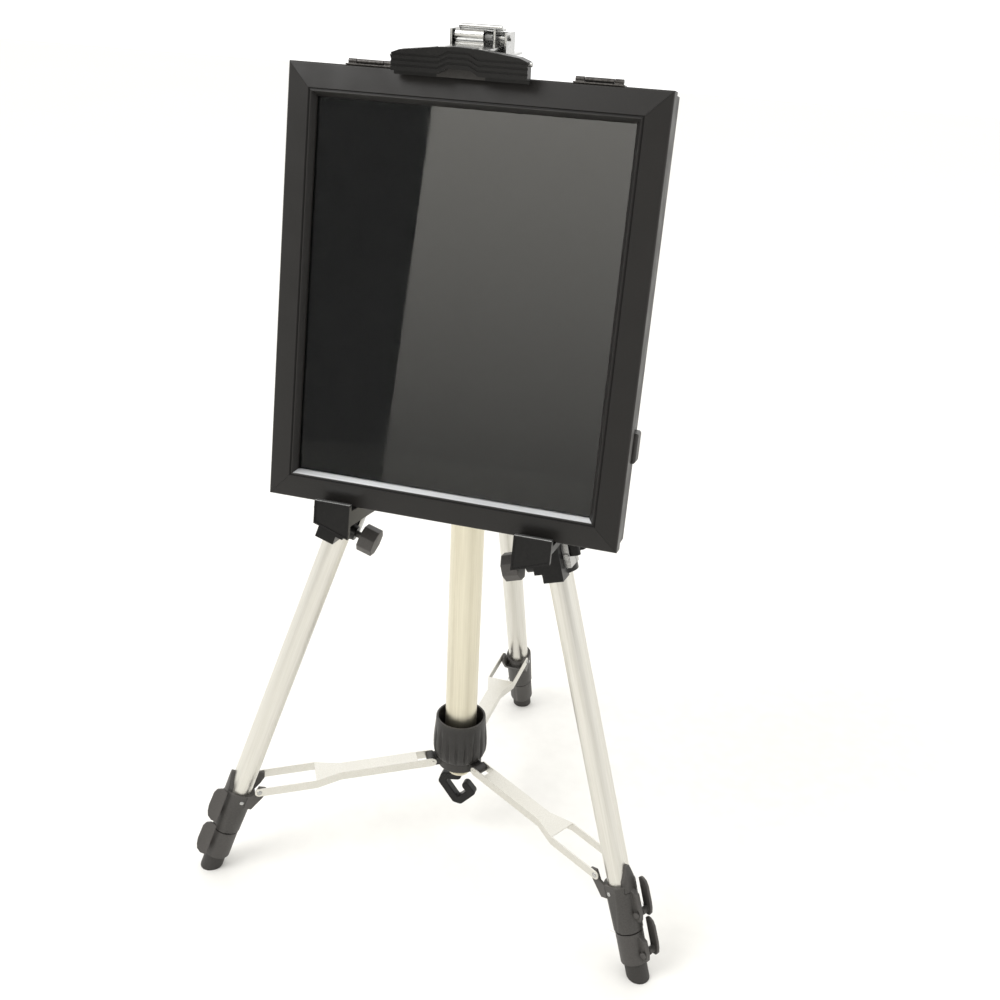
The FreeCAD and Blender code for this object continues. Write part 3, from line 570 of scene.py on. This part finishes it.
def build_clip():
    soften("clip_bracket", 0.25, STEEL, "mast")
    soften("clip_pin", 0.3, STEEL, "mast")
    build_spring()
    soften("clip_lever", 0.25, STEEL, "clip_lever")
    soften("clip_rod", 0.3, STEEL, "clip_lever")
    keep("clip_jaw", BLACK_SMOOTH)
    build_jaw_pad()


def build_jaw_pad():
    """The rubber pad behind the notch in the jaw's lower edge."""
    outline = [(-14.5, 685.8), (20.5, 685.8), (20.5, 690.5), (14.0, 693.4), (-8.0, 693.4),
               (-14.5, 690.5)]
    pad = prism(outline, JAW_PAD_FRONT, JAW_PAD_BACK)
    round_edges(pad, 0.4)
    piece("clip_jaw_middle_pad", pad, MAST, "clip_jaw", RUBBER)


# Camera, light and floor

def build_camera():
    yaw, pitch, roll = (math.radians(a) for a in (CAMERA_YAW, CAMERA_PITCH, CAMERA_ROLL))
    forward = Vector((-math.sin(yaw) * math.cos(pitch), math.cos(yaw) * math.cos(pitch),
                      -math.sin(pitch)))
    level = Vector((math.cos(yaw), math.sin(yaw), 0))
    above = level.cross(forward)
    right = math.cos(roll) * level + math.sin(roll) * above
    up = right.cross(forward)
    data = bpy.data.cameras.new("camera")
    data.sensor_width = SENSOR_WIDTH
    data.lens = LENS
    camera = link(bpy.data.objects.new("camera", data))
    camera.matrix_world = oriented(MAST @ Vector(CAMERA_AT), right, up, -forward)
    bpy.context.scene.camera = camera


def split_axes(tree, output):
    """The X, Y and Z of one output of the texture coordinates."""
    split = tree.nodes.new("ShaderNodeSeparateXYZ")
    coordinates = tree.nodes.new("ShaderNodeTexCoord")
    tree.links.new(coordinates.outputs[output], split.inputs["Vector"])
    return split.outputs


def reflector(name, left, right, colour, low, high):
    """A studio card that only glossy surfaces see, brightening from its foot to its top."""
    corners = [MAST @ Vector((x, CARD_Y, z))
               for x, z in ((left, 0), (right, 0), (right, CARD_TOP), (left, CARD_TOP))]
    mesh = bpy.data.meshes.new(name)
    mesh.from_pydata(corners, [], [(0, 1, 2, 3)])
    material = bpy.data.materials.new(name)
    material.use_nodes = True
    tree = material.node_tree
    shader = tree.nodes["Principled BSDF"]
    shader.inputs["Base Color"].default_value = (0, 0, 0, 1)
    shader.inputs["Emission Color"].default_value = (*colour, 1)
    level = remap(tree, split_axes(tree, "Object")["Z"], 0, CARD_TOP * MM, low, high)
    tree.links.new(level, shader.inputs["Emission Strength"])
    mesh.materials.append(material)
    card = link(bpy.data.objects.new(name, mesh))
    for flag in ("camera", "diffuse", "transmission", "volume_scatter", "shadow"):
        setattr(card, f"visible_{flag}", False)


def build_world():
    """A pale studio, dimmer in front of the object than behind and above it."""
    world = bpy.data.worlds.new("studio")
    world.use_nodes = True
    tree = world.node_tree
    background = tree.nodes["Background"]
    background.inputs["Color"].default_value = (1.0, 0.995, 0.98, 1.0)
    strength = remap(tree, split_axes(tree, "Generated")["Y"], -0.9, -0.1, 0.65, 1.4)
    tree.links.new(strength, background.inputs["Strength"])
    bpy.context.scene.world = world


def build_floor():
    mesh = bpy.data.meshes.new("floor")
    size = FLOOR_HALF
    mesh.from_pydata([(-size, -size, 0), (size, -size, 0), (size, size, 0), (-size, size, 0)],
                     [], [(0, 1, 2, 3)])
    mesh.materials.append(finish("pale_floor", (0.80, 0.79, 0.76), (0.84, 0.83, 0.80), 0.7,
                                 grain=60.0, bump=0.0))
    link(bpy.data.objects.new("floor", mesh))


def build_key():
    """A soft disk light from the upper left."""
    light = bpy.data.lights.new("key", "AREA")
    light.shape = "DISK"
    light.size = KEY_SIZE
    light.energy = KEY_WATTS
    key = link(bpy.data.objects.new("key", light))
    z = (KEY_AT - KEY_TARGET).normalized()
    x = Vector(UP).cross(z).normalized()
    key.matrix_world = oriented(KEY_AT, x, z.cross(x), z)


def build_stage():
    bpy.context.scene.view_settings.view_transform = "Standard"
    build_world()
    build_floor()
    build_key()
    reflector("dark_flag", FLAG_LEFT, CARD_SPLIT, (0.9, 0.95, 1.0), 0.02, 0.02)
    reflector("grey_card", CARD_SPLIT, CARD_RIGHT, (1.0, 0.97, 0.90), 0.07, 3.9)


build_camera()
build_stage()
build_case()
build_legs()
build_centre()
build_clamps()
build_clip()
